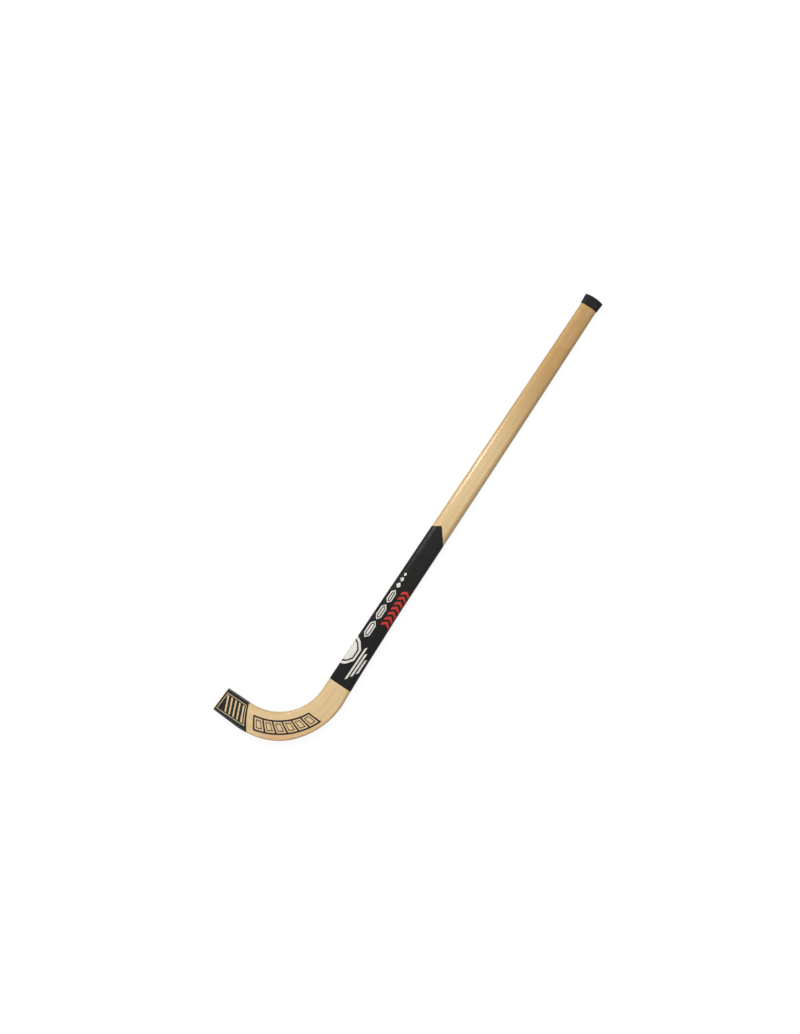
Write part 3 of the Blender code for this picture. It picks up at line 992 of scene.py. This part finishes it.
# A range holds where a change begins and where it is full: along the stick, by depth, or by rise,
# which is the height as a share of the half thickness. Of four numbers the last two are the values.
woodFinish = {
    # The paler hook and shaft and the darker grip are partly the wood's own colour and partly painted light:
    # a painted sheen over the hook and lower shaft, and painted shade where the light falls off towards the
    # butt.
    "hook": paint(223, 195, 146),
    "shaft": paint(216, 189, 142),
    "shaftRange": (0.00, 0.32),
    "grip": paint(180, 144, 90),
    "gripRange": (0.46, 0.70),
    "warm": paint(220, 172, 124),
    "warmMottle": (0.45, 0.65),
    "warmShare": 0.16,
    "heelRanges": [(0.0, -0.05), (-0.125, -0.095)],  # the heel is warmer, from both ends of the bend
    "heelDepths": (0.026, 0.044, 0.0, 0.6),
    "endGrain": paint(196, 160, 110),
    "sawnRange": (0.0006, 0.0002),  # counted from the sawn end
    "joint": paint(150, 112, 68),
    "jointRise": (0.5, 0.8, 0.0, 0.55),
    "side": (0.90, 0.84, 0.74, 1.0),  # painted shade on the rounded edges and the narrow sides, which turn from the light: darker and a little browner
    "gripSheen": (1.06, 1.08, 1.11, 1.0),  # a painted sheen on the same edges at the grip, paler and whiter
    "gripSheenRange": (0.54, 0.68),
    "paintedEdgeRise": (1.0, 0.92),
    "gloss": 0.50,
    "smears": 0.14,
    "rubbing": 0.05,
    "shine": 0.10,
    "lacquer": (-0.005, -0.060, 0.62, 0.40),  # rubbed thinner on the hook by play
    "lacquerRoughness": 0.18,
    "lacquerIor": 1.45,
    "bump": (0.25, 0.00006),  # strength and distance
}


def laminatedWood():
    finish, tree, shader = newFinish("laminatedWood")
    form = woodFinish
    place = along, depth, height = placed(tree, coordinatesGroup)
    figure = placed(tree, figureGroup, Along=along, Depth=depth, Height=height)
    # Paler hook and shaft and a darker grip: partly the wood's colour, partly painted sheen and painted
    # shade.
    colour = mixNode(tree, stepNode(tree, along, *form["shaftRange"]), form["hook"], form["shaft"])
    colour = mixNode(tree, stepNode(tree, along, *form["gripRange"]), colour, form["grip"])
    heel = times(tree, *(stepNode(tree, along, *span) for span in form["heelRanges"]))
    heel = times(tree, heel, stepNode(tree, depth, *form["heelDepths"]))
    warmth = times(tree, stepNode(tree, figure["Mottle"], *form["warmMottle"]), form["warmShare"])
    colour = mixNode(tree, mathNode(tree, "ADD", warmth, heel, clamped=True), colour, form["warm"])
    # The sawn toe shows the ends of the fibres.
    slanted = mathNode(tree, "MULTIPLY_ADD", depth, math.tan(stickForm["toeSlant"]), along)
    sawn = stepNode(tree, slanted, *(toeCut(0.0) + reach for reach in form["sawnRange"]))
    colour = mixNode(tree, sawn, colour, form["endGrain"])
    colour = mixNode(tree, 1.0, colour, combined(tree, *[figure["Shade"]] * 3), "MULTIPLY")
    # How near the surface is to a broad face, as a share of the half thickness there.
    thinsFrom, full = stickForm["thinsFrom"], stickForm["halfThickness"]
    thinned = minus(tree, along, thinsFrom)
    thinned = mathNode(tree, "DIVIDE", thinned, stickForm["shaftLength"] - thinsFrom, clamped=True)
    half = mathNode(tree, "MULTIPLY_ADD", thinned, stickForm["buttHalfThickness"] - full, full)
    rise = mathNode(tree, "DIVIDE", mathNode(tree, "ABSOLUTE", height), half)
    rise = mathNode(tree, "MAXIMUM", rise, sawn)
    # Painted shade darkens the rounded edges, the narrow sides and the sawn end, and at the grip a painted
    # sheen makes the edges paler instead.
    side = mixNode(tree, stepNode(tree, along, *form["gripSheenRange"]), form["side"], form["gripSheen"])
    side = mixNode(tree, stepNode(tree, rise, *form["paintedEdgeRise"]), plainWhite, side)
    colour = mixNode(tree, 1.0, colour, side, "MULTIPLY")
    joint = times(tree, figure["Joint"], stepNode(tree, rise, *form["jointRise"]))
    colour = mixNode(tree, joint, colour, form["joint"])
    surfaced(tree, shader, colour, handled(tree, place, form), form)
    tree.links.new(stepNode(tree, along, *form["lacquer"]), shader.inputs["Coat Weight"])
    shader.inputs["Coat Roughness"].default_value = form["lacquerRoughness"]
    shader.inputs["Coat IOR"].default_value = form["lacquerIor"]
    bumped(tree, shader, figure["Relief"], form["bump"])
    return finish


filmFinish = {
    "black": paint(14, 15, 14),
    "tip": paint(27, 26, 24),  # browner towards the pointed end
    "tipRange": (0.10, 0.34),
    "rubbed": paint(90, 90, 88),
    "rubbedShare": 0.10,
    "gloss": 0.30,
    "smears": 0.16,
    "rubbing": 0.10,
    "shine": 0.17,
}


def blackFilm():
    finish, tree, shader = newFinish("blackFilm")
    form = filmFinish
    place = placed(tree, coordinatesGroup)
    marks = handled(tree, place, form)
    colour = mixNode(tree, stepNode(tree, place["Along"], *form["tipRange"]), form["black"], form["tip"])
    colour = mixNode(tree, times(tree, marks["Lines"], form["rubbedShare"]), colour, form["rubbed"])
    surfaced(tree, shader, colour, marks, form)
    return finish


inkFinish = {"smears": 0.12, "rubbing": 0.08, "grit": (700.0, 700.0, 3.0, 0.6), "gritEdges": (0.3, 0.7)}
inks = {
    "whiteInk": {"colour": paint(224, 219, 210), "gloss": 0.34, "shine": 0.3, "unevenness": 0.06},
    "redInk": {"colour": paint(188, 54, 42), "gloss": 0.34, "shine": 0.25, "unevenness": 0.06},
    "hookInk": {"colour": paint(20, 20, 24), "gloss": 0.36, "shine": 0.2, "unevenness": 0.10},
}


# Printing ink, with a fine unevenness in its colour.
def printInk(name):
    finish, tree, shader = newFinish(name)
    form = {**inkFinish, **inks[name]}
    place = placed(tree, coordinatesGroup)
    grit = stickNoise(tree, place, form["grit"])
    grit = stepNode(tree, grit, *form["gritEdges"], 1.0 - form["unevenness"], 1.0 + form["unevenness"])
    colour = mixNode(tree, 1.0, form["colour"], combined(tree, grit, grit, grit), "MULTIPLY")
    surfaced(tree, shader, colour, handled(tree, place, form), form)
    return finish


rubberFinish = {
    "black": paint(17, 18, 18),
    "dust": paint(44, 43, 41),
    "cloud": (160.0, 160.0, 3.0, 0.6),
    "dustRange": (0.45, 0.75, 0.0, 0.35),
    "grain": (2200.0, 2200.0, 3.0, 0.6),
    "gloss": 0.52,
    "smears": 0.16,
    "rubbing": 0.05,
    "shine": 0.15,
    "bump": (0.35, 0.00008),
}


def mouldedRubber():
    finish, tree, shader = newFinish("mouldedRubber")
    form = rubberFinish
    place = placed(tree, coordinatesGroup)
    dust = stepNode(tree, stickNoise(tree, place, form["cloud"]), *form["dustRange"])
    colour = mixNode(tree, dust, form["black"], form["dust"])
    surfaced(tree, shader, colour, handled(tree, place, form), form)
    bumped(tree, shader, stickNoise(tree, place, form["grain"]), form["bump"])
    return finish


def finished(pieces, finish):
    for piece in pieces:
        piece.data.materials.clear()
        piece.data.materials.append(finish)
        for face in piece.data.polygons:
            face.material_index = 0


finished(strips, laminatedWood())
finished([sleeve], blackFilm())
finished([whitePrint], printInk("whiteInk"))
finished([redPrint], printInk("redInk"))
finished(hookPrints, printInk("hookInk"))
finished([cap], mouldedRubber())

print("placing the floor, the lights and the camera")
studio = {
    "world": 0.22,
    "floor": paint(126, 126, 126),
    "floorSize": 16,
    "floorRoughness": 0.9,
    "floorGlow": 0.86,
    "glowRange": (0.8, 2.4),  # away from the stick the floor turns plain white
}
lights = {
    "key": {"place": (0.23, 1.06, 1.10), "aim": (0.15, -0.05, 0.0), "size": (0.15, 0.85), "power": 15.6},
    "fill": {"place": (1.9, 0.0, 2.0), "aim": (0.0, 0.0, 0.0), "size": (1.6, 1.6), "power": 22.0},
    "farFill": {"place": (-1.9, 0.0, 2.0), "aim": (0.0, 0.0, 0.0), "size": (1.6, 1.6), "power": 22.0},
}
cameraView = {"fromBend": (0.323811, -0.034680), "height": 2.51, "turn": -56.17, "lens": 50.15, "sensor": 36}


# White for what the camera sees directly or in a reflection, and a plain level for the light.
def seenDirectly(tree):
    path = tree.nodes.new("ShaderNodeLightPath")
    seen = mathNode(tree, "MAXIMUM", path.outputs["Is Camera Ray"], path.outputs["Is Glossy Ray"])
    return mathNode(tree, "MAXIMUM", seen, path.outputs["Is Transmission Ray"])


world = bpy.data.worlds.new("studioWorld")
world.use_nodes = True
bpy.context.scene.world = world
tree = world.node_tree
background = tree.nodes["Background"]
background.inputs["Color"].default_value = plainWhite
strength = stepNode(tree, seenDirectly(tree), 0.0, 1.0, studio["world"], 1.0)
tree.links.new(strength, background.inputs["Strength"])

bpy.ops.object.select_all(action="DESELECT")
bpy.ops.mesh.primitive_plane_add(size=studio["floorSize"], location=(0, 0, 0))
floor = bpy.context.object
floor.name = "studio_floor"
floorFinish, tree, shader = newFinish("studioFloor")
shader.inputs["Base Color"].default_value = studio["floor"]
shader.inputs["Roughness"].default_value = studio["floorRoughness"]
shader.inputs["Specular IOR Level"].default_value = 0.0
shader.inputs["Emission Color"].default_value = plainWhite
away = tree.nodes.new("ShaderNodeVectorMath")
away.operation = "LENGTH"
tree.links.new(tree.nodes.new("ShaderNodeTexCoord").outputs["Object"], away.inputs[0])
glow = stepNode(tree, away.outputs["Value"], *studio["glowRange"], studio["floorGlow"], 1.0)
tree.links.new(times(tree, seenDirectly(tree), glow), shader.inputs["Emission Strength"])
floor.data.materials.append(floorFinish)

for name, form in lights.items():
    bpy.ops.object.light_add(type="AREA", location=form["place"])
    light = bpy.context.object
    light.name = name
    light.data.shape = "RECTANGLE"
    light.data.size, light.data.size_y = form["size"]
    light.data.energy = form["power"]
    towards = Vector(form["aim"]) - Vector(form["place"])
    light.rotation_euler = towards.to_track_quat("-Z", "Y").to_euler()

cameraPlace = [centre + offset for centre, offset in zip(bendCentre, cameraView["fromBend"])]
cameraTurn = (0, 0, math.radians(cameraView["turn"]))
bpy.ops.object.camera_add(location=(*cameraPlace, cameraView["height"]), rotation=cameraTurn)
camera = bpy.context.object
camera.data.lens = cameraView["lens"]
camera.data.sensor_width = cameraView["sensor"]
bpy.context.scene.camera = camera
bpy.context.scene.view_settings.view_transform = "Standard"

print("done")
